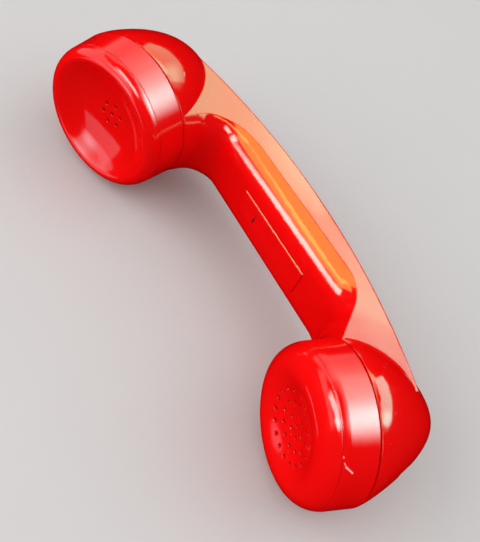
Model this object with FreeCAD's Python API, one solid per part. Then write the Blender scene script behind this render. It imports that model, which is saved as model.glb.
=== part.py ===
import FreeCAD, Part
import math
import os

# Telephone handset lying on its side. Millimetres.
# Design axes: +X from the ear cup to the mouth cup, +Y towards the back of the grip, +Z sideways (up).
# The design origin is the centre of the ear cup's seam; every shape is moved to the row origin on export,
# which is the middle of the handset's footprint at its lowest point.

Vec = FreeCAD.Vector

# Overall layout
SPAN = 161.6                # between the seam centres of the two cups
EAR_TILT = 14.2             # cup axis against the handle, degrees
MOUTH_TILT = -18.1
EAR_R = 32.0                # housing radius at the ear seam
MOUTH_R = 31.3
ROW_ORIGIN = Vec(79.95, 7.69, -32.0)

# Cup interiors, heights are above the seam along the cup's axis
EAR_BORE_R = 24.6
MOUTH_BORE_R = 24.4
COLLAR_TOP = 6.4
EAR_LEDGE = -10.4
EAR_WELL_R = 19.0
EAR_WELL_END = -23.0
MOUTH_LEDGE = -8.6
MOUTH_WELL_R = 14.5
MOUTH_WELL_END = -23.5

# Screw threads of the caps
PITCH = 3.0
THREAD_DEPTH = 0.9          # housing ridge over its root
CAP_RIDGE = 0.9
CAP_CLEAR = 0.45            # housing crest to cap wall
EAR_CREST_R = 28.0
MOUTH_CREST_R = 27.4
THREAD_TURNS = 1.45

# Outer profiles of the caps, radius and height from the end of the band to the middle of the dish
EAR_FACE = ((31.1, 12.7), (30.35, 15.4), (28.95, 17.2), (27.0, 17.9), (25.0, 17.2), (22.0, 15.25),
            (17.0, 12.6), (11.0, 10.85), (5.0, 10.1), (0.0, 10.0))
MOUTH_FACE = ((30.9, 11.6), (30.25, 14.6), (28.3, 17.9), (25.4, 20.0), (21.8, 20.75), (18.0, 20.1),
              (12.0, 18.2), (6.0, 16.95), (0.0, 16.6))
EAR_LINE = (31.1, 12.8)     # radius and height of the fine groove round each cap
MOUTH_LINE = (30.25, 14.6)

EAR_GAP = 0.35              # between a cap's edge and the housing
MOUTH_GAP = 0.6
EAR_HOLE_R = 0.9            # a ring of six round one
EAR_HOLE_RING = 5.0
EAR_HOLE_START = 0.35       # radians
MOUTH_HOLE_R = 0.8          # three rings round one
MOUTH_HOLE_STEP = 4.7

# Wiring and terminals
TERMINAL_X = 6.0            # receiver terminal screws, either side of its axis
POST_Y = 13.0               # transmitter contact posts, either side of its axis
UNIT_DROP = -1.6            # from the height the transmitter is drawn at to its seat
WIRE_HOLE = (-8.0, 8.6)     # through the floor of the terminal cup
WIRE_R = 0.55

# Rounded ends of the housing: depth and the two powers of their outline
EAR_DOME = (39.1, 1.34, 2.64)
MOUTH_DOME = (37.3, 1.537, 1.604)
MOUTH_LEAN = (-0.192, 0.00753)  # how the mouth end's centre line leans with depth

# Handle
FACET_Z0 = 17.9             # half width where the facets leave the ear seam
FACET_X0 = 26.0
FACET_SLOPE = 0.02
GRIP_FLAT = 0.466           # fraction of the half width that is flat underneath
GRIP_ROUND_W = 10.3         # half axes of the rounding between the underside and a facet
GRIP_ROUND_H = 12.0
GRIP_HALF = 18.9
UNDER_X0 = 45.0             # underside height where the straight part starts, and its slope
UNDER_Y0 = 21.6
UNDER_SLOPE = -0.0165
WEB_DEG = 55.0              # slope of the web from the underside down to the mouth seam
BACK_R = 323.0
BACK_X = 67.1
BACK_Y = 42.3
CROWN_R = 98.0
BACK_EDGE_R = 0.8
EAR_JOIN_R = 31.6           # radius at which the handle meets each seam
MOUTH_JOIN_R = 30.9
PAD_X = (60.5, 104.5)       # raised pad on the underside
PAD_HALF = 6.3
PAD_H = 0.45

# Wire channel through the handle
CHANNEL_R = 3.2
CHANNEL_TURN = (90.0, 31.0)
CHANNEL_ENDS = ((8.0, 25.5), (158.0, 21.5))

# Jack at the mouth end
JACK_X = 184.6              # front face of the jack, behind the housing's wall
JACK_Y = 12.6
JACK_LEN = 15.0
JACK_W = 11.2
JACK_H = 10.6
PLUG_W = 7.9
PLUG_H = 6.4
PLUG_DEPTH = 12.6
LATCH_W = 3.4
LATCH_H = 1.5
CONTACT_PITCH = 1.27
CONTACT_RUN = 8.0
CONTACT_DROP = 1.2
CONTACT_R = 0.25


# ---------------------------------------------------------------- helpers
def cup_place(x0, tilt_deg):
    t = math.radians(tilt_deg)
    c, s = math.cos(t), math.sin(t)
    return FreeCAD.Placement(FreeCAD.Matrix(c, 0, s, x0, s, 0, -c, 0, 0, 1, 0, 0, 0, 0, 0, 1))


EAR = cup_place(0.0, EAR_TILT)
MOUTH = cup_place(SPAN, MOUTH_TILT)


def placed(shape, place):
    out = shape.copy()
    out.Placement = place.multiply(out.Placement)
    return out


def loop(points):
    pts = [Vec(*p) for p in points]
    return Part.Wire(Part.makePolygon(pts + [pts[0]]))


def turned(profile):
    """Solid of revolution about local Z from a closed (radius, height) polygon."""
    face = Part.Face(loop([(r, 0, h) for r, h in profile]))
    return face.revolve(Vec(0, 0, 0), Vec(0, 0, 1), 360)


def turned_edges(edges):
    face = Part.Face(Part.Wire(edges))
    return face.revolve(Vec(0, 0, 0), Vec(0, 0, 1), 360)


def rod(r, h0, h1, x=0.0, y=0.0):
    return Part.makeCylinder(r, h1 - h0, Vec(x, y, h0))


def ring(r0, r1, h0, h1, x=0.0, y=0.0):
    return rod(r1, h0, h1, x, y).cut(rod(r0, h0 - 1, h1 + 1, x, y))


def rh(r, h):
    return Vec(r, 0, h)


def line(a, b):
    return Part.makeLine(a, b)


def arc(a, m, b):
    return Part.Arc(a, m, b).toShape()


def fused(shapes):
    out = shapes[0]
    if len(shapes) > 1:
        out = out.multiFuse(shapes[1:])
    return out.removeSplitter()


def cut_all(body, tools):
    return body.cut(tools).removeSplitter()


def hole_circle(count, radius, start=0.0):
    step = 2 * math.pi / count
    return [(radius * math.cos(start + i * step), radius * math.sin(start + i * step)) for i in range(count)]


def wire_tube(points, r):
    curve = Part.BSplineCurve()
    pts = [Vec(*p) for p in points]
    curve.interpolate(pts)
    path = Part.Wire(curve.toShape())
    start = curve.value(curve.FirstParameter)
    tangent = curve.tangent(curve.FirstParameter)[0]
    section = Part.Wire(Part.makeCircle(r, start, tangent))
    return path.makePipeShell([section], True, True)


def thread_ridge(r_base, r_tip, start_h, turns, base_w, tip_w):
    """Helical ridge. r_tip above r_base gives an outside thread, below it an inside one."""
    helix = Part.makeLongHelix(PITCH, turns * PITCH, r_base)
    helix.translate(Vec(0, 0, start_h))
    profile = loop([(r_base, 0, start_h - base_w / 2), (r_tip, 0, start_h - tip_w / 2),
                    (r_tip, 0, start_h + tip_w / 2), (r_base, 0, start_h + base_w / 2)])
    return Part.Wire(helix.Edges).makePipeShell([profile], True, True)


# ---------------------------------------------------------------- handle housing
def facet_z(x):
    return FACET_Z0 + FACET_SLOPE * (x - FACET_X0)


def underside_y(x):
    return UNDER_Y0 + UNDER_SLOPE * (x - UNDER_X0)


def on_cup(place, x, h):
    p = place.multVec(Vec(x, 0, h))
    return p.x, p.y


def grip_outline(t):
    """Side outline of the handle at fraction t of its half width."""
    a = abs(t)
    over = max(0.0, (a - GRIP_FLAT) * GRIP_HALF) / GRIP_ROUND_W
    rise = GRIP_ROUND_H * (1 - math.sqrt(1 - over ** 2))
    ear_x = math.sqrt(EAR_JOIN_R ** 2 - (a * FACET_Z0) ** 2)
    mouth_x = math.sqrt(MOUTH_JOIN_R ** 2 - (a * facet_z(139.0)) ** 2)
    x0, y0 = on_cup(EAR, ear_x, -0.4)
    x_neck = x0 + 0.7
    y_neck = 12.0 + 2.0 * a
    x_grip = 38.0 + 13.0 * a ** 6
    y_grip = underside_y(x_grip) + rise
    xm, ym = on_cup(MOUTH, -mouth_x, -0.4)
    y_end = underside_y(118.0) + rise + 0.6 * a ** 6
    c, s = math.cos(math.radians(WEB_DEG)), math.sin(math.radians(WEB_DEG))
    x_corner = xm - (y_end - ym) * c / s
    lead = 3.5 + 7.5 * a ** 2
    neck = []
    for i in range(5):
        ang = i * math.pi / 8
        neck.append((x_grip - (x_grip - x_neck) * math.cos(ang), y_neck + (y_grip - y_neck) * math.sin(ang)))
    corner = [(x_corner - lead, y_end), (x_corner, y_end), (x_corner + lead * c, y_end - lead * s)]
    return (x0, y0), neck, corner, (xm, ym)


def grip_wire(t):
    start, neck, corner, end = grip_outline(t)

    def at(p):
        return Vec(p[0], p[1], t * facet_z(p[0]))

    curve = Part.BSplineCurve()
    curve.interpolate([at(p) for p in neck])
    bend = Part.BezierCurve()
    bend.setPoles([at(p) for p in corner])
    far = [(150.0, 4.6), (169.0, 13.0), (169.0, 60.0), (-5.0, 60.0), (-5.0, 11.0), (12.0, 4.0)]
    edges = [line(at(start), at(neck[0])), curve.toShape(), line(at(neck[-1]), at(corner[0])),
             bend.toShape(), line(at(corner[-1]), at(end))]
    ring_pts = [end] + far + [start]
    for p, q in zip(ring_pts, ring_pts[1:]):
        edges.append(line(at(p), at(q)))
    return Part.Wire(edges)


def back_envelope():
    """Everything under the crowned, bowed back of the grip."""
    centre = Vec(BACK_X, BACK_Y - BACK_R, 0)
    half = 30.0
    drop = CROWN_R - math.sqrt(CROWN_R ** 2 - half ** 2)
    x, y_top = BACK_X, BACK_Y
    edges = [arc(Vec(x, y_top - drop, -half), Vec(x, y_top, 0), Vec(x, y_top - drop, half)),
             line(Vec(x, y_top - drop, half), Vec(x, -20, half)),
             line(Vec(x, -20, half), Vec(x, -20, -half)),
             line(Vec(x, -20, -half), Vec(x, y_top - drop, -half))]
    face = Part.Face(Part.Wire(edges))
    face.rotate(centre, Vec(0, 0, 1), -35)
    return face.revolve(centre, Vec(0, 0, 1), 70)


def grip_body():
    steps = [0.0, 0.25, GRIP_FLAT, 0.56, 0.65, 0.74, 0.83, 0.92, 1.0]
    fractions = [-s for s in reversed(steps[1:])] + steps
    loft = Part.makeLoft([grip_wire(t) for t in fractions], True, False)
    body = loft.common(back_envelope())
    rims = [e for e in body.Edges if e.CenterOfMass.y > 36 and abs(e.CenterOfMass.z) > 15 and e.Length > 100]
    return body.makeFillet(BACK_EDGE_R, rims)


def underside_pad():
    length = PAD_X[1] - PAD_X[0]
    pad = Part.makeBox(length, PAD_H + 2.0, 2 * PAD_HALF, Vec(0, -PAD_H, -PAD_HALF))
    rims = [e for e in pad.Edges if abs(e.CenterOfMass.y + PAD_H) < 0.01]
    pad = pad.makeFillet(0.3, rims)
    pad.rotate(Vec(0, 0, 0), Vec(0, 0, 1), math.degrees(UNDER_SLOPE))
    pad.translate(Vec(PAD_X[0], underside_y(PAD_X[0]), 0))
    return pad


def dome_radius(base_r, depth, p, q, b):
    return base_r * (1 - (b / depth) ** p) ** (1 / q)


def ear_dome():
    depth, p, q = EAR_DOME
    pts = []
    for i in range(11):
        b = depth * math.cos(i * math.pi / 20) ** 1.6
        pts.append(rh(dome_radius(EAR_R, depth, p, q, b) if i else 0, -b))
    curve = Part.BSplineCurve()
    curve.interpolate(pts)
    edges = [curve.toShape(), line(pts[-1], rh(0, 0)), line(rh(0, 0), pts[0])]
    return placed(turned_edges(edges), EAR)


def mouth_dome():
    """Rounded end whose centre line leans, so the chin comes out as a blunt corner."""
    depth, p, q = MOUTH_DOME
    rings = []
    for b in (0.0, 4.0, 8.0, 12.0, 16.0, 20.0, 24.0, 28.0, 31.0, 33.5, 35.5, 36.6):
        lean = MOUTH_LEAN[0] * b + MOUTH_LEAN[1] * b * b
        circle = Part.makeCircle(dome_radius(MOUTH_R, depth, p, q, b), Vec(lean, 0, -b))
        rings.append(Part.Wire(circle))
    return placed(Part.makeLoft(rings, True, False), MOUTH)


def collar(crest_r, bore_r):
    root = crest_r - THREAD_DEPTH
    tube = ring(bore_r, root, -2.0, COLLAR_TOP)
    ridge = thread_ridge(root - 0.15, crest_r, 1.5, THREAD_TURNS, 1.5, 0.7)
    return tube.fuse(ridge).removeSplitter()


def handle_housing():
    body = fused([grip_body(), ear_dome(), mouth_dome(), underside_pad()])
    ear_cut = fused([rod(EAR_BORE_R, EAR_LEDGE, 1), rod(EAR_WELL_R, EAR_WELL_END, 1)])
    mouth_cut = fused([rod(MOUTH_BORE_R, MOUTH_LEDGE, 1), rod(MOUTH_WELL_R, MOUTH_WELL_END, 1)])
    turn = Vec(*CHANNEL_TURN, 0)
    channel = [Part.makeSphere(CHANNEL_R, turn)]
    for end in CHANNEL_ENDS:
        way = Vec(*end, 0) - turn
        channel.append(Part.makeCylinder(CHANNEL_R, way.Length, turn, way))
    pocket = Part.makeBox(JACK_LEN + 0.3, JACK_H + 0.4, JACK_W + 0.4,
                          Vec(JACK_X - JACK_LEN - 0.2, JACK_Y - JACK_H / 2 - 0.2, -JACK_W / 2 - 0.2))
    window = Part.makeBox(20, PLUG_H + LATCH_H + 0.6, PLUG_W + 0.6,
                          Vec(JACK_X - 1, JACK_Y - PLUG_H / 2 - LATCH_H - 0.3, -PLUG_W / 2 - 0.3))
    body = cut_all(body, [placed(ear_cut, EAR), placed(mouth_cut, MOUTH), fused(channel), pocket, window])
    body = body.fuse([placed(collar(EAR_CREST_R, EAR_BORE_R), EAR),
                      placed(collar(MOUTH_CREST_R, MOUTH_BORE_R), MOUTH)])
    return body.removeSplitter()


# ---------------------------------------------------------------- caps
def cap_thread(crest_r):
    wall = crest_r + CAP_CLEAR
    return thread_ridge(wall + 0.15, wall - CAP_RIDGE, 1.5 + PITCH / 2, THREAD_TURNS, 1.5, 0.7)


def punched(body, spots, r, h0, h1):
    return body.cut([rod(r, h0, h1, x, y) for x, y in spots])


def smooth(points):
    curve = Part.BSplineCurve()
    curve.interpolate([rh(r, h) for r, h in points])
    return curve.toShape()


def rim_groove(r, h):
    """Fine V line that marks the end of a cap's band."""
    return turned([(r + 0.6, h - 0.45), (r - 0.3, h), (r + 0.6, h + 0.45)])


def ear_cap():
    wall = EAR_CREST_R + CAP_CLEAR
    edges = [line(rh(wall, EAR_GAP), rh(EAR_R, EAR_GAP)),
             line(rh(EAR_R, EAR_GAP), rh(*EAR_FACE[0])),
             smooth(EAR_FACE),
             line(rh(*EAR_FACE[-1]), rh(0, 7.7)),
             arc(rh(0, 7.7), rh(12.4, 9.3), rh(24.6, 14.0)),
             line(rh(24.6, 14.0), rh(27.6, 10.4)),
             line(rh(27.6, 10.4), rh(wall, 9.0)),
             line(rh(wall, 9.0), rh(wall, EAR_GAP))]
    shell = fused([turned_edges(edges), ring(20.0, 22.0, 7.8, 13.2), cap_thread(EAR_CREST_R)])
    shell = shell.cut(rim_groove(*EAR_LINE))
    return punched(shell, [(0, 0)] + hole_circle(6, EAR_HOLE_RING, EAR_HOLE_START), EAR_HOLE_R, 5, 13)


def mouth_hole_spots():
    spots = [(0, 0)]
    for n in (1, 2, 3):
        spots += hole_circle(6 * n, n * MOUTH_HOLE_STEP, 0.2 * n)
    return spots


def mouth_cap():
    wall = MOUTH_CREST_R + CAP_CLEAR
    edges = [line(rh(wall, MOUTH_GAP), rh(MOUTH_R, MOUTH_GAP)),
             line(rh(MOUTH_R, MOUTH_GAP), rh(*MOUTH_FACE[0])),
             smooth(MOUTH_FACE),
             line(rh(*MOUTH_FACE[-1]), rh(0, 14.2)),
             arc(rh(0, 14.2), rh(11.0, 14.95), rh(20.6, 16.85)),
             arc(rh(20.6, 16.85), rh(25.2, 15.6), rh(27.4, 11.6)),
             line(rh(27.4, 11.6), rh(wall, 10.6)),
             line(rh(wall, 10.6), rh(wall, MOUTH_GAP))]
    shell = fused([turned_edges(edges), cap_thread(MOUTH_CREST_R)])
    shell = shell.cut(rim_groove(*MOUTH_LINE))
    return punched(shell, mouth_hole_spots(), MOUTH_HOLE_R, 13.5, 22)


# ---------------------------------------------------------------- receiver unit in the ear cup
def box_ring(r0, r1, h0, h1):
    return turned([(r0, h0), (r1, h0), (r1, h1), (r0, h1)])


def lug(x, y, h0, toward, barrel_h):
    """Ring terminal with a crimp tail, drawn flat at height h0."""
    eye = rod(2.3, h0, h0 + 0.45, x, y)
    tail = Part.makeBox(3.4, 1.5, 0.45, Vec(1.6, -0.75, h0))
    barrel = Part.makeCylinder(0.85, 2.0, Vec(3.2, 0, h0 + barrel_h), Vec(1, 0, 0))
    arm = tail.fuse(barrel)
    arm.rotate(Vec(0, 0, 0), Vec(0, 0, 1), toward)
    arm.translate(Vec(x, y, 0))
    return eye.fuse(arm).cut(rod(1.5, h0 - 1, h0 + 1, x, y)).removeSplitter()


def slotted_screw(x, y, head_h, tip_h):
    """Pan screw; the head sits on the far side of head_h from the tip."""
    out = 1.0 if head_h > tip_h else -1.0
    head_top = head_h + out * 1.5
    head = rod(2.4, min(head_h, head_top), max(head_h, head_top), x, y)
    shank = rod(1.2, min(head_h, tip_h), max(head_h, tip_h), x, y)
    slot_low = head_top - 0.7 if out > 0 else head_top - 0.1
    slot = Part.makeBox(6, 0.6, 0.8, Vec(x - 3, y - 0.3, slot_low))
    return head.fuse(shank).cut(slot).removeSplitter()


def receiver_parts():
    case = box_ring(22.9, 23.9, -10.3, 6.0).fuse(rod(23.0, -10.3, -9.0)).removeSplitter()
    case = punched(case, [(TERMINAL_X, 0), (-TERMINAL_X, 0)], 2.0, -11, -8)
    diaphragm = turned([(0, 3.2), (9, 1.6), (12.6, -0.1), (22.6, -0.1), (22.6, 0.2), (12.7, 0.2), (9.1, 1.9),
                        (0, 3.5)])
    plate = punched(rod(11.5, -12.15, -10.35), [(TERMINAL_X, 0), (-TERMINAL_X, 0)], 1.3, -13, -10)
    grid = punched(rod(22.7, 5.2, 6.3), [(0, 0)] + hole_circle(6, 5.0) + hole_circle(12, 10.0), 1.2, 5, 7)
    screws = [slotted_screw(s * TERMINAL_X, 0, -12.75, -9.2) for s in (1, -1)]
    return {
        "receiver_case": case,
        "receiver_magnet": box_ring(8.2, 15.0, -8.95, -2.5),
        "receiver_pole_core": rod(3.2, -8.95, -1.4),
        "receiver_coil": box_ring(3.3, 8.0, -8.9, -2.6),
        "receiver_pole_plate": box_ring(9.6, 15.0, -2.45, -1.4),
        "receiver_armature_ring": box_ring(4.4, 12.4, -1.1, -0.15),
        "receiver_support_ring": box_ring(19.0, 22.7, -8.95, -0.15),
        "receiver_diaphragm": diaphragm,
        "receiver_clamp_ring": box_ring(20.6, 22.7, 0.25, 4.9),
        "receiver_screen": rod(22.6, 4.95, 5.15),
        "receiver_grid": grid,
        "receiver_terminal_plate": plate,
        "receiver_terminal_screws": Part.makeCompound(screws),
        "click_suppressor": click_suppressor(),
        "receiver_gasket": box_ring(19.4, 22.6, 6.4, 7.7),
    }


def click_suppressor():
    """Disc varistor bridging the two receiver terminals."""
    disc = Part.makeCylinder(3.0, 2.2, Vec(0, 4.2, -17.4), Vec(0, 1, 0))
    lead = [(1.2, 5.3, -15.4), (3.2, 5.0, -13.6), (5.4, 3.6, -12.75), (6.0, 2.75, -12.5)]
    right = wire_tube(lead, 0.3)
    left = wire_tube([(-x, y, h) for x, y, h in lead], 0.3)
    return disc.fuse([right, left]).removeSplitter()


# ---------------------------------------------------------------- transmitter unit in the mouth cup
def transmitter_parts():
    """Drawn with its flange at 2.1; UNIT_DROP seats it on the terminal cup."""
    case = turned([(8.2, 2.1), (23.4, 2.1), (23.4, 3.3), (20.9, 3.3), (20.9, 16.3), (20.1, 16.3), (20.1, 3.0),
                   (8.2, 3.0)])
    chamber = turned([(3.6, -3.0), (8.0, -3.0), (8.0, 3.05), (9.8, 3.05), (9.8, 3.6), (6.6, 3.6), (6.6, -1.8),
                      (3.6, -1.8)])
    rear = turned([(0, -3.6), (3.4, -3.6), (3.4, -1.75), (6.3, -1.75), (6.3, -0.9), (0, -0.9)])
    diaphragm = turned([(0, 3.75), (6.0, 3.75), (17.5, 9.0), (19.9, 9.0), (19.9, 9.3), (17.4, 9.3),
                        (5.9, 4.1), (0, 4.1)])
    grid_spots = [(0, 0)] + hole_circle(6, 5.0) + hole_circle(12, 10.0) + hole_circle(18, 15.0)
    return {
        "transmitter_case": case,
        "transmitter_chamber": chamber,
        "transmitter_rear_electrode": rear,
        "carbon_granules": rod(6.4, -0.85, 2.6),
        "transmitter_front_electrode": rod(5.6, 2.65, 3.7),
        "transmitter_diaphragm": diaphragm,
        "transmitter_support_ring": box_ring(18.4, 20.0, 3.05, 8.95),
        "transmitter_clamp_ring": box_ring(18.4, 20.0, 9.35, 13.9),
        "transmitter_membrane": rod(19.9, 13.95, 14.15),
        "transmitter_grid": punched(rod(20.0, 14.2, 15.0), grid_spots, 1.2, 13, 16),
        "transmitter_gasket": box_ring(18.6, 20.6, 16.35, 17.8),
    }


def strip(side_points, width):
    """Leaf spring drawn in local (y, height) and given its width along x."""
    face = Part.Face(loop([(-width / 2, y, h) for y, h in side_points]))
    return face.extrude(Vec(width, 0, 0))


def terminal_parts():
    floor = rod(23.0, -8.5, -7.0)
    wall = box_ring(22.6, 23.8, -8.5, 0.35)
    posts = [rod(3.2, -8.0, -6.1, 0, s * POST_Y) for s in (1, -1)]
    cup = floor.fuse([wall] + posts).removeSplitter()
    cup = punched(cup, [(0, POST_Y), (0, -POST_Y)], 1.25, -8.3, -4)
    cup = punched(cup, [WIRE_HOLE, (WIRE_HOLE[0], -WIRE_HOLE[1])], 1.5, -10, -6)
    centre = strip([(16, -6.05), (16, -5.65), (6, -5.65), (2.2, -5.25), (-2.2, -5.25), (-2.2, -5.65),
                    (2.0, -5.65), (6, -6.05)], 5.0)
    side = strip([(-10, -6.05), (-16.2, -6.05), (-19.1, -0.2), (-21.4, 0.05), (-21.4, 0.45), (-18.9, 0.2),
                  (-16.0, -5.65), (-10, -5.65)], 5.0)
    return {
        "terminal_cup": cup,
        "centre_contact_spring": centre.cut(rod(1.5, -8, -5, 0, POST_Y)),
        "side_contact_spring": side.cut(rod(1.5, -8, -5, 0, -POST_Y)),
        "terminal_screws": Part.makeCompound([slotted_screw(0, s * POST_Y, -5.1, -8.2) for s in (1, -1)]),
    }


# ---------------------------------------------------------------- jack and wiring
def jack_housing():
    body = Part.makeBox(JACK_LEN, JACK_H, JACK_W, Vec(JACK_X - JACK_LEN, JACK_Y - JACK_H / 2, -JACK_W / 2))
    x = JACK_X - PLUG_DEPTH + 0.01
    y = JACK_Y - PLUG_H / 2
    plug = Part.makeBox(PLUG_DEPTH, PLUG_H, PLUG_W, Vec(x, y, -PLUG_W / 2))
    latch = Part.makeBox(PLUG_DEPTH, LATCH_H + 1, LATCH_W, Vec(x, y - LATCH_H, -LATCH_W / 2))
    return body.cut([plug, latch]).removeSplitter()


def jack_contacts():
    wires = []
    length = math.hypot(CONTACT_RUN, CONTACT_DROP)
    for i in range(4):
        start = Vec(JACK_X - PLUG_DEPTH + 0.3, JACK_Y + 2.7, (i - 1.5) * CONTACT_PITCH)
        wires.append(Part.makeCylinder(CONTACT_R, length, start, Vec(CONTACT_RUN, -CONTACT_DROP, 0)))
    return Part.makeCompound(wires)


def in_row(place, point):
    p = place.multVec(Vec(*point))
    return (p.x, p.y, p.z)


def transmitter_route(s):
    rear_x = JACK_X - JACK_LEN - 0.5
    hole_x, hole_y = WIRE_HOLE
    inside = [(-7.6, s * 8.2, -12.0), (hole_x, s * hole_y, -8.6), (hole_x, s * hole_y, -6.4),
              (-7.0, s * 9.8, -5.3), (-5.2, s * 10.6, -5.15)]
    jack_end = [(rear_x, JACK_Y - 1.6, s * 2.4), (rear_x - 3.0, JACK_Y - 1.0, s * 3.4)]
    return jack_end + [in_row(MOUTH, point) for point in inside]


def receiver_route(s):
    rear_x = JACK_X - JACK_LEN - 0.5
    side = TERMINAL_X * s
    jack_end = [(rear_x, JACK_Y + 1.6, s * 0.9), (rear_x - 3.5, JACK_Y + 4.0, s * 1.1),
                (158.0, 20.8, s * 1.2)]
    handle = [(145.0, 23.4), (120.0, 26.8), (90.0, 30.6), (60.0, 29.0), (32.0, 27.1), (20.0, 26.2)]
    inside = [(14.5, s * 1.3, -19.8), (0.6 * side + 6.0, s * 1.4 - 3.8, -18.1 + s * 0.9),
              (side + 0.6, -9.2, -15.6), (side, -7.6, -13.5), (side, -5.4, -13.15)]
    return jack_end + [(x, y, s * 1.2) for x, y in handle] + [in_row(EAR, point) for point in inside]


def wiring():
    parts = {}
    for name, s in (("a", 1), ("b", -1)):
        parts["transmitter_wire_" + name] = wire_tube(transmitter_route(s), WIRE_R)
        parts["receiver_wire_" + name] = wire_tube(receiver_route(s), WIRE_R)
    lugs = [placed(lug(0, s * POST_Y, -5.6, 180 + s * 25, 0.45), MOUTH) for s in (1, -1)]
    lugs += [placed(lug(s * TERMINAL_X, 0, -12.7, 270, -0.45), EAR) for s in (1, -1)]
    parts["wire_lugs"] = Part.makeCompound(lugs)
    return parts


# ---------------------------------------------------------------- export
def export(name, shape):
    moved = shape.copy()
    moved.translate(-ROW_ORIGIN)
    moved.exportStep(os.path.join("parts", name + ".step"))


def build():
    nodes = {"handle_housing": handle_housing(), "ear_cap": placed(ear_cap(), EAR),
             "mouth_cap": placed(mouth_cap(), MOUTH), "jack_housing": jack_housing(),
             "jack_contacts": jack_contacts()}
    for name, shape in receiver_parts().items():
        nodes[name] = placed(shape, EAR)
    for name, shape in transmitter_parts().items():
        shape.translate(Vec(0, 0, UNIT_DROP))
        nodes[name] = placed(shape, MOUTH)
    for name, shape in terminal_parts().items():
        nodes[name] = placed(shape, MOUTH)
    nodes.update(wiring())
    return nodes


os.makedirs("parts", exist_ok=True)
for node_name, node_shape in build().items():
    export(node_name, node_shape)
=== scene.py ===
import math

import bmesh
import bpy
from mathutils import Matrix, Vector

# Looks of a red moulded telephone handset lying on its side. Metres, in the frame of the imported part.
# Angles in the tables are in degrees. Azimuth 0 is in front of the caps and turns towards the mouth cup.

# Camera, looking down on the handset from in front of the mouth cup
CAMERA_PLACE = Vector((0.14124, -0.20530, 0.32727))
CAMERA_FORWARD = Vector((-0.3444, 0.5235, -0.7793))
CAMERA_RIGHT = Vector((0.5162, 0.7989, 0.3086))
CAMERA_LENS = 63.7

# Places that the lights face, and how far from each its gloss panels hang. A near panel reflects in one dome
# or lip and misses the rest.
ENDS = {
    "middle": (Vector((0.0, 0.025, 0.045)), 1.1),
    "ear": (Vector((-0.073, -0.002, 0.062)), 0.14),
    "mouth": (Vector((0.088, -0.006, 0.062)), 0.15),
    "lip": (Vector((0.074, -0.026, 0.016)), 0.12),
}
# Nodes that one gloss panel can light. No others reflect it.
LIT_NODES = {
    "handle": ("handle_housing",),
    "caps": ("ear_cap", "mouth_cap"),
    "ear_cap": ("ear_cap",),
    "mouth_cap": ("mouth_cap",),
}
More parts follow.
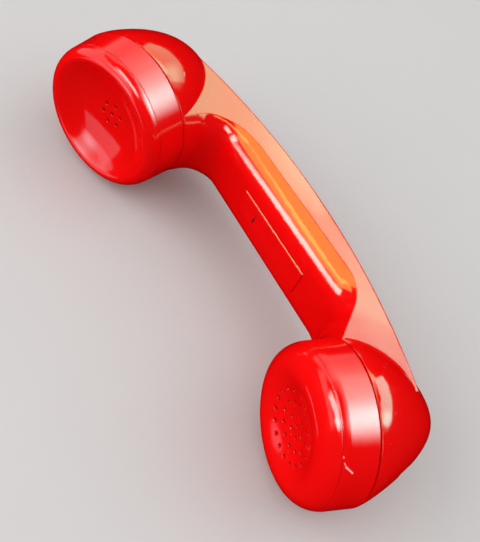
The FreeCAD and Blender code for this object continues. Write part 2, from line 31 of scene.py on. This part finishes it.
# Panels seen in the gloss: lit nodes, place faced, azimuth, elevation, width, height, share of the half width
# that fades out, brightness, colour
GLOSS_PANELS = {
    "peach_strip": ("handle", "middle", -147.0, 44.0, 40.0, 14.0, 0.1, 4.4, (0.12, 1.0, 0.55)),
    "peach_end": ("handle", "middle", -166.0, 50.0, 40.0, 28.0, 1.0, 6.0, (0.12, 1.0, 0.8)),
    "orange_ceiling": ("handle", "middle", -76.0, 67.0, 54.0, 20.0, 0.15, 5.6, (0.2, 1.0, 0.21)),
    "orange_wall": ("handle", "middle", -46.0, 51.0, 34.0, 20.0, 0.15, 5.4, (0.2, 1.0, 0.22)),
    "front_window": ("handle", "middle", -25.0, 27.0, 24.0, 30.0, 0.7, 16.0, (0.4, 1.0, 0.85)),
    "neck_spark": ("handle", "middle", 4.0, 28.0, 26.0, 22.0, 0.6, 14.0, (0.4, 1.0, 0.8)),
    "neck_window": ("handle", "middle", 100.0, 32.0, 26.0, 40.0, 0.4, 8.0, (0.4, 1.0, 0.55)),
    "neck_orange": ("handle", "middle", 20.0, 60.0, 60.0, 20.0, 0.4, 5.6, (0.55, 1.0, 0.3)),
    "ear_patch": ("handle", "ear", -157.0, 29.0, 56.0, 30.0, 0.1, 2.4, (0.12, 1.0, 0.6)),
    "ear_patch_core": ("handle", "ear", -178.0, 28.0, 40.0, 30.0, 0.9, 4.4, (0.12, 1.0, 0.65)),
    "mouth_patch": ("handle", "mouth", 165.0, 31.0, 54.0, 22.0, 0.1, 7.0, (0.12, 1.0, 0.8)),
    "mouth_patch_core": ("handle", "mouth", 143.0, 27.0, 26.0, 22.0, 0.8, 6.5, (0.12, 1.0, 0.85)),
    "window": ("caps", "middle", 128.0, 46.0, 56.0, 60.0, 1.0, 20.0, (0.4, 1.0, 0.97)),
    "window_haze": ("caps", "middle", 150.0, 58.0, 90.0, 60.0, 1.0, 6.5, (0.4, 1.0, 0.95)),
    "pink_ceiling": ("caps", "middle", -160.0, 56.0, 84.0, 64.0, 1.0, 2.2, (0.4, 1.0, 0.85)),
    "pink_wall": ("caps", "middle", -115.0, 38.0, 56.0, 56.0, 0.3, 1.0, (0.4, 1.0, 0.92)),
    "ceiling_window": ("caps", "middle", 4.0, 64.0, 56.0, 24.0, 0.5, 12.0, (0.4, 1.0, 0.95)),
    "ear_haze": ("ear_cap", "middle", -38.0, 18.0, 100.0, 52.0, 0.1, 1.3, (0.4, 1.0, 1.0)),
    "ear_haze_top": ("ear_cap", "middle", -12.0, 42.0, 56.0, 20.0, 0.8, 4.0, (0.4, 1.0, 1.0)),
    "dish_glow": ("ear_cap", "middle", -13.0, -12.0, 40.0, 36.0, 0.1, 1.0, (0.4, 1.0, 1.1)),
    "dish_core": ("ear_cap", "middle", -2.0, 4.0, 30.0, 28.0, 1.0, 4.0, (0.4, 1.0, 1.1)),
    "lip_haze": ("mouth_cap", "middle", -35.0, 44.0, 80.0, 24.0, 0.3, 1.3, (0.4, 1.0, 0.95)),
    "lip_window": ("mouth_cap", "middle", 25.0, 52.0, 24.0, 16.0, 0.6, 13.0, (0.4, 1.0, 0.95)),
    "lip_strip": ("mouth_cap", "lip", -38.0, -25.0, 26.0, 6.0, 0.2, 1.1, (0.4, 1.0, 1.2)),
}
# Soft lights that shade the shell and the floor and don't show in the gloss: azimuth, elevation, width,
# height, brightness
SHADE_DISTANCE = 2.0
SHADE_PANELS = {
    "key_box": (150.0, 52.0, 50.0, 50.0, 1.0),
    "front_box": (-30.0, 30.0, 60.0, 50.0, 1.9),
}
# Small marks on the shell: from, to, radius, colour. The fleck on the ear dome is wear; the nick on the mouth
# cap band is painted light pink as a painted highlight, and the nick on the handle's inner face is painted
# near-black as a painted shadow.
WEAR_MARKS_AND_PAINTED_LIGHT = (
    # Nick on the mouth cap band: its light pink is a painted highlight off the nick's edges.
    ((0.0992, -0.0279, 0.0521), (0.1005, -0.0275, 0.0511), 0.00032, (0.84, 0.30, 0.28)),
    ((0.1005, -0.0275, 0.0511), (0.1028, -0.0256, 0.0493), 0.00045, (0.86, 0.42, 0.40)),
    ((0.0973, -0.0279, 0.0538), (0.0976, -0.0279, 0.0535), 0.00040, (0.85, 0.28, 0.26)),
    ((-0.0696, 0.0063, 0.0584), (-0.0683, 0.0056, 0.0581), 0.00050, (0.82, 0.28, 0.25)),
    # Nick on the handle's inner face: its near-black is the painted shadow inside the nick.
    ((-0.0090, 0.0132, 0.0292), (-0.0090, 0.0132, 0.0322), 0.00055, (0.05, 0.008, 0.008)),
    ((-0.0090, 0.0132, 0.0322), (-0.0089, 0.0131, 0.0350), 0.00035, (0.20, 0.010, 0.010)),
)
SHELL_DARK = (0.78, 0.0014, 0.0016)
SHELL_LIGHT = (0.87, 0.0024, 0.0026)
SHELL_DUST = (0.80, 0.45, 0.40)
SHELL_IOR = 1.52
EDGE_RADIUS = 0.0007
ROOM_COLOUR = (0.80, 0.80, 0.80, 1.0)
FLOOR_DARK = (0.54, 0.535, 0.53)
FLOOR_LIGHT = (0.58, 0.575, 0.57)
# Far floor colour and the span it is reached over: painted light, paler with distance from the handset where
# the shade lights fall off.
FLOOR_FAR_PAINTED_LIGHT = (0.98, 0.98, 0.98)
FLOOR_PAINTED_LIGHT_SPAN = (1.0, 5.0)  # distances from the handset between which the floor turns to FLOOR_FAR_PAINTED_LIGHT
FLOOR_HALF = 30.0
# The Mix node's colour sockets share names with its number sockets, so they go by place
MIX_SHARE, MIX_A, MIX_B, MIX_RESULT = 0, 6, 7, 2


# ---------------------------------------------------------------- shader nodes
class Shader:
    """One material's node tree, with short calls for the nodes that the finishes share."""

    def __init__(self, name):
        self.material = bpy.data.materials.new(name)
        self.material.use_nodes = True
        self.tree = self.material.node_tree
        self.tree.nodes.clear()
        self.bsdf = self.tree.nodes.new("ShaderNodeBsdfPrincipled")
        out = self.tree.nodes.new("ShaderNodeOutputMaterial")
        self.tree.links.new(self.bsdf.outputs["BSDF"], out.inputs["Surface"])
        self.place = self.tree.nodes.new("ShaderNodeTexCoord").outputs["Object"]

    def node(self, kind, inputs, **settings):
        n = self.tree.nodes.new("ShaderNode" + kind)
        for key, value in settings.items():
            setattr(n, key, value)
        for key, value in inputs.items():
            if isinstance(value, bpy.types.NodeSocket):
                self.tree.links.new(value, n.inputs[key])
            else:
                n.inputs[key].default_value = value
        return n

    def fixed(self, **values):
        for key, value in values.items():
            self.bsdf.inputs[key.replace("_", " ")].default_value = value

    def drive(self, socket, value):
        self.tree.links.new(value, self.bsdf.inputs[socket])

    def stretched(self, *scale):
        return self.node("Mapping", {"Vector": self.place, "Scale": scale}).outputs["Vector"]

    def noise(self, scale, detail=3.0, vector=None):
        inputs = {"Vector": vector or self.place, "Scale": scale, "Detail": detail}
        return self.node("TexNoise", inputs).outputs["Fac"]

    def cells(self, scale, output="Distance"):
        return self.node("TexVoronoi", {"Vector": self.place, "Scale": scale}).outputs[output]

    def waves(self, scale, direction, distortion=0.0):
        inputs = {"Vector": self.place, "Scale": scale, "Distortion": distortion}
        return self.node("TexWave", inputs, bands_direction=direction).outputs["Fac"]

    def span(self, value, low, high, to_low, to_high):
        """Maps low..high to to_low..to_high, held at both ends."""
        inputs = {"Value": value, "From Min": low, "From Max": high, "To Min": to_low, "To Max": to_high}
        return self.node("MapRange", inputs).outputs["Result"]

    def maths(self, operation, a, b=0.0):
        return self.node("Math", {0: a, 1: b}, operation=operation).outputs["Value"]

    def mixed(self, share, a, b):
        inputs = {MIX_SHARE: share}
        for socket, colour in ((MIX_A, a), (MIX_B, b)):
            inputs[socket] = colour if isinstance(colour, bpy.types.NodeSocket) else (*colour, 1.0)
        return self.node("Mix", inputs, data_type="RGBA").outputs[MIX_RESULT]

    def vectors(self, operation, a, b, output="Vector"):
        return self.node("VectorMath", {0: a, 1: b}, operation=operation).outputs[output]

    def bumped(self, height, strength, distance, below=None):
        inputs = {"Height": height, "Strength": strength, "Distance": distance}
        if below is not None:
            inputs["Normal"] = below
        return self.node("Bump", inputs).outputs["Normal"]

    def stroke(self, start, end, radius):
        """1 along the line from start to end, falling to 0 at the radius, with a ragged edge."""
        along = Vector(end) - Vector(start)
        from_start = self.vectors("SUBTRACT", self.place, start)
        reach = self.vectors("DOT_PRODUCT", from_start, along / along.length_squared, "Value")
        share = self.span(reach, 0.0, 1.0, 0.0, 1.0)
        foot = self.node("VectorMath", {0: along, "Scale": share}, operation="SCALE").outputs["Vector"]
        away = self.vectors("DISTANCE", from_start, foot, "Value")
        ragged = self.maths("ADD", away, self.span(self.noise(900.0), 0.3, 0.7, -0.3 * radius, 0.3 * radius))
        return self.span(ragged, 0.5 * radius, radius, 1.0, 0.0)


# ---------------------------------------------------------------- finishes
def red_shell(name):
    """Polished red moulding: faint colour drift, soft mould ripple, hairline scratches, specks of dust and
    small marks, among them a painted highlight on one nick and a painted shadow in another.
    """
    s = Shader(name)
    drift = s.span(s.noise(14.0), 0.3, 0.7, 0.0, 1.0)
    colour = s.mixed(drift, SHELL_DARK, SHELL_LIGHT)
    dust = s.maths("MULTIPLY", s.span(s.cells(260.0), 0.03, 0.09, 1.0, 0.0),
                   s.span(s.noise(60.0), 0.55, 0.68, 0.0, 1.0))
    colour = s.mixed(s.maths("MULTIPLY", dust, 0.35), colour, SHELL_DUST)
    # Small marks: wear, plus a painted highlight on one nick and a painted shadow in another.
    for start, end, radius, tint in WEAR_MARKS_AND_PAINTED_LIGHT:
        colour = s.mixed(s.stroke(start, end, radius), colour, tint)
    hairs_long = s.span(s.noise(1.0, 2.0, s.stretched(40.0, 2600.0, 900.0)), 0.68, 0.74, 0.0, 1.0)
    hairs_cross = s.span(s.noise(1.0, 2.0, s.stretched(2100.0, 60.0, 700.0)), 0.69, 0.75, 0.0, 1.0)
    hairs = s.maths("MAXIMUM", hairs_long, hairs_cross)
    handled = s.span(s.noise(32.0, 5.0), 0.35, 0.72, 0.07, 0.13)
    rough = s.maths("ADD", handled, s.maths("MULTIPLY", s.maths("MAXIMUM", hairs, dust), 0.16))
    edges = s.node("Bevel", {"Radius": EDGE_RADIUS}, samples=6).outputs["Normal"]
    ripple = s.bumped(s.noise(110.0, 1.0), 0.05, 0.0012, edges)
    scratched = s.bumped(hairs, 0.05, -0.0001, ripple)
    s.drive("Base Color", colour)
    s.drive("Roughness", rough)
    s.drive("Normal", scratched)
    s.fixed(IOR=SHELL_IOR)
    return s.material


def moulded(name, dark, light, rough, grain=900.0):
    """Satin plastic or phenolic: two tones, a fine mould grain and rubbed patches."""
    s = Shader(name)
    s.drive("Base Color", s.mixed(s.span(s.noise(120.0), 0.35, 0.65, 0.0, 1.0), dark, light))
    s.drive("Roughness", s.span(s.noise(70.0, 4.0), 0.35, 0.7, rough - 0.08, rough + 0.10))
    s.drive("Normal", s.bumped(s.noise(grain, 2.0), 0.15, 0.0002))
    return s.material


def clear_plastic(name):
    """Milky clear plastic with faint flow lines."""
    s = Shader(name)
    flow = s.waves(60.0, "X", 4.0)
    s.drive("Base Color", s.mixed(s.span(flow, 0.2, 0.8, 0.0, 1.0), (0.52, 0.54, 0.54), (0.62, 0.63, 0.62)))
    s.drive("Roughness", s.span(s.noise(200.0), 0.3, 0.7, 0.16, 0.30))
    s.drive("Normal", s.bumped(flow, 0.05, 0.0002))
    s.fixed(Subsurface_Weight=0.3, Subsurface_Scale=0.002)
    return s.material


def metal(name, colour, tarnish, rough, lines):
    """Bare metal: turned or drawn lines, a duller tarnish in patches."""
    s = Shader(name)
    patches = s.span(s.noise(90.0, 5.0), 0.45, 0.75, 0.0, 1.0)
    drawn = s.noise(1.0, 2.0, s.stretched(*lines))
    s.drive("Base Color", s.mixed(patches, colour, tarnish))
    s.drive("Roughness", s.maths("ADD", s.span(drawn, 0.3, 0.7, rough - 0.06, rough + 0.06),
                                 s.maths("MULTIPLY", patches, 0.12)))
    s.drive("Normal", s.bumped(drawn, 0.12, 0.00008))
    s.fixed(Metallic=1.0)
    return s.material


def woven(name, dark, light, threads):
    """Fine cloth: two crossed sets of threads."""
    s = Shader(name)
    weave = s.maths("MULTIPLY", s.waves(threads, "X"), s.waves(threads, "Z"))
    s.drive("Base Color", s.mixed(weave, dark, light))
    s.drive("Roughness", s.span(weave, 0.0, 1.0, 0.95, 0.7))
    s.drive("Normal", s.bumped(weave, 0.5, 0.0002))
    return s.material


def granular(name, dark, light, size):
    """Loose grains packed together."""
    s = Shader(name)
    s.drive("Base Color", s.mixed(s.cells(size), light, dark))
    s.drive("Roughness", s.span(s.cells(size), 0.0, 0.7, 0.35, 0.8))
    s.drive("Normal", s.bumped(s.cells(size), 0.8, -0.0003))
    return s.material


def winding(name):
    """Enamelled copper wire laid in turns round the coil's axis."""
    s = Shader(name)
    turns = s.waves(1100.0, "Y", 0.4)
    s.drive("Base Color", s.mixed(turns, (0.16, 0.05, 0.02), (0.62, 0.25, 0.10)))
    s.drive("Roughness", s.span(s.noise(300.0), 0.3, 0.7, 0.22, 0.4))
    s.drive("Normal", s.bumped(turns, 0.6, 0.00015))
    s.fixed(Metallic=0.6)
    return s.material


FINISHES = {
    "red_shell": red_shell,
    "black_plastic": lambda n: moulded(n, (0.022, 0.022, 0.024), (0.040, 0.040, 0.043), 0.42),
    "bakelite": lambda n: moulded(n, (0.10, 0.035, 0.015), (0.19, 0.075, 0.03), 0.34, 500.0),
    "varistor": lambda n: moulded(n, (0.07, 0.13, 0.34), (0.11, 0.19, 0.44), 0.30, 400.0),
    "rubber": lambda n: moulded(n, (0.03, 0.03, 0.03), (0.06, 0.058, 0.055), 0.72, 1500.0),
    "white_wire": lambda n: moulded(n, (0.70, 0.70, 0.64), (0.85, 0.85, 0.80), 0.45),
    "green_wire": lambda n: moulded(n, (0.03, 0.26, 0.07), (0.06, 0.38, 0.11), 0.45),
    "black_wire": lambda n: moulded(n, (0.02, 0.02, 0.02), (0.04, 0.04, 0.04), 0.45),
    "red_wire": lambda n: moulded(n, (0.45, 0.02, 0.02), (0.62, 0.035, 0.03), 0.45),
    "membrane": lambda n: moulded(n, (0.60, 0.56, 0.40), (0.74, 0.70, 0.55), 0.30, 700.0),
    "clear_plastic": clear_plastic,
    "aluminium": lambda n: metal(n, (0.80, 0.81, 0.82), (0.58, 0.58, 0.57), 0.30, (3000.0, 60.0, 3000.0)),
    "diaphragm": lambda n: metal(n, (0.74, 0.74, 0.72), (0.55, 0.55, 0.53), 0.26, (2500.0, 60.0, 2500.0)),
    "brass": lambda n: metal(n, (0.79, 0.60, 0.27), (0.48, 0.33, 0.14), 0.28, (3000.0, 60.0, 3000.0)),
    "steel": lambda n: metal(n, (0.62, 0.62, 0.63), (0.42, 0.41, 0.40), 0.32, (60.0, 2500.0, 2500.0)),
    "magnet": lambda n: metal(n, (0.24, 0.24, 0.25), (0.13, 0.12, 0.12), 0.55, (900.0, 900.0, 900.0)),
    "spring_bronze": lambda n: metal(n, (0.74, 0.49, 0.26), (0.45, 0.27, 0.14), 0.26, (60.0, 2500.0, 2500.0)),
    "gold_contact": lambda n: metal(n, (0.92, 0.70, 0.32), (0.80, 0.58, 0.26), 0.20, (60.0, 3000.0, 3000.0)),
    "copper_coil": winding,
    "screen_cloth": lambda n: woven(n, (0.03, 0.03, 0.035), (0.16, 0.16, 0.17), 900.0),
    "carbon": lambda n: granular(n, (0.006, 0.006, 0.006), (0.06, 0.06, 0.06), 2600.0),
}


def dress(nodes):
    """Gives every node of the part the finish of its own material slot."""
    made = {}
    for node in nodes.values():
        slot = node.data.materials[0].name
        if slot not in made:
            made[slot] = FINISHES[slot]("finish_" + slot)
        node.data.materials.clear()
        node.data.materials.append(made[slot])


# ---------------------------------------------------------------- studio
def floor_with_painted_light():
    """Matt grey under the handset, painted paler far away: painted light that makes up for the shade lights
    falling off with distance, so that the floor meets the room without a hard horizon.
    """
    s = Shader("floor_with_painted_light")
    near = s.mixed(s.noise(3.0), FLOOR_DARK, FLOOR_LIGHT)
    reach = s.node("VectorMath", {0: s.place}, operation="LENGTH").outputs["Value"]
    # Painted light: the base colour turns paler with distance, standing in for light the shade panels lose
    # far off.
    s.drive("Base Color", s.mixed(s.span(reach, *FLOOR_PAINTED_LIGHT_SPAN, 0.0, 1.0), near, FLOOR_FAR_PAINTED_LIGHT))
    s.drive("Roughness", s.span(s.noise(40.0), 0.3, 0.7, 0.75, 0.9))
    s.drive("Normal", s.bumped(s.noise(500.0, 4.0), 0.05, 0.0005))
    return s.material


def lay_floor():
    mesh = bpy.data.meshes.new("studio_floor")
    bm = bmesh.new()
    bmesh.ops.create_grid(bm, x_segments=8, y_segments=8, size=FLOOR_HALF)
    bm.to_mesh(mesh)
    bm.free()
    mesh.materials.append(floor_with_painted_light())
    floor = bpy.data.objects.new("studio_floor", mesh)
    floor.visible_glossy = False
    bpy.context.collection.objects.link(floor)


def hang_panel(name, place, distance, azimuth, elevation, width, height, brightness, colour=(1.0, 1.0, 1.0)):
    """Flat light facing a place on the handset, its size given as the angle it fills."""
    a = math.radians(azimuth)
    e = math.radians(elevation)
    away = Vector((math.sin(a) * math.cos(e), -math.cos(a) * math.cos(e), math.sin(e)))
    light = bpy.data.lights.new(name, "AREA")
    light.shape = "RECTANGLE"
    light.size = 2.0 * distance * math.tan(math.radians(width / 2.0))
    light.size_y = 2.0 * distance * math.tan(math.radians(height / 2.0))
    light.energy = brightness * math.pi * light.size * light.size_y
    light.color = colour
    lamp = bpy.data.objects.new(name, light)
    lamp.location = place + away * distance
    lamp.rotation_mode = "QUATERNION"
    lamp.rotation_quaternion = (-away).to_track_quat("-Z", "Y")
    lamp.visible_camera = False
    bpy.context.collection.objects.link(lamp)
    return lamp


def fade_edges(light, share):
    """Dims a panel towards its edges over the given share of its half width."""
    light.use_nodes = True
    tree = light.node_tree
    spot = tree.nodes.new("ShaderNodeNewGeometry").outputs["Parametric"]
    across = tree.nodes.new("ShaderNodeSeparateXYZ")
    tree.links.new(spot, across.inputs[0])
    level = None
    for axis in ("X", "Y"):
        inward = tree.nodes.new("ShaderNodeMath")
        inward.operation = "PINGPONG"
        inward.inputs[1].default_value = 0.5
        tree.links.new(across.outputs[axis], inward.inputs[0])
        ramp = tree.nodes.new("ShaderNodeMapRange")
        ramp.interpolation_type = "SMOOTHSTEP"
        ramp.inputs["From Max"].default_value = 0.5 * share
        tree.links.new(inward.outputs[0], ramp.inputs["Value"])
        if level is not None:
            both = tree.nodes.new("ShaderNodeMath")
            both.operation = "MULTIPLY"
            tree.links.new(level, both.inputs[0])
            tree.links.new(ramp.outputs[0], both.inputs[1])
            ramp = both
        level = ramp.outputs[0]
    tree.links.new(level, tree.nodes["Emission"].inputs["Strength"])


def light_room(nodes):
    """Even room light for shading; only the gloss panels show in the gloss."""
    world = bpy.data.worlds.new("studio_room")
    bpy.context.scene.world = world
    world.use_nodes = True
    world.node_tree.nodes["Background"].inputs["Color"].default_value = ROOM_COLOUR
    world.cycles_visibility.glossy = False
    groups = {}
    for group, names in LIT_NODES.items():
        groups[group] = bpy.data.collections.new("lit_" + group)
        for name in names:
            groups[group].objects.link(nodes[name])
    for name, (group, end, *aim_and_size, fade, brightness, colour) in GLOSS_PANELS.items():
        lamp = hang_panel(name, *ENDS[end], *aim_and_size, brightness, colour)
        lamp.visible_diffuse = False
        lamp.light_linking.receiver_collection = groups[group]
        fade_edges(lamp.data, fade)
    middle, _ = ENDS["middle"]
    for name, panel in SHADE_PANELS.items():
        hang_panel(name, middle, SHADE_DISTANCE, *panel).visible_glossy = False


def place_camera():
    forward = CAMERA_FORWARD.normalized()
    right = (CAMERA_RIGHT - forward * CAMERA_RIGHT.dot(forward)).normalized()
    up = right.cross(forward)
    data = bpy.data.cameras.new("photo_camera")
    data.lens = CAMERA_LENS
    camera = bpy.data.objects.new("photo_camera", data)
    bpy.context.collection.objects.link(camera)
    turn = Matrix((right, up, -forward)).transposed().to_4x4()
    camera.matrix_world = Matrix.Translation(CAMERA_PLACE) @ turn
    bpy.context.scene.camera = camera


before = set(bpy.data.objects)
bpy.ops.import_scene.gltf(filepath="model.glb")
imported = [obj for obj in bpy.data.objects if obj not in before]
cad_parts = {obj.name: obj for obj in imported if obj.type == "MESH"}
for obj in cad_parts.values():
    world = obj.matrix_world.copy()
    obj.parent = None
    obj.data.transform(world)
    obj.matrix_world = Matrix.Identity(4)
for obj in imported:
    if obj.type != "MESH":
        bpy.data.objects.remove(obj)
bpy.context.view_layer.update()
dress(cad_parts)
lay_floor()
light_room(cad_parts)
place_camera()
bpy.context.scene.view_settings.view_transform = "Standard"
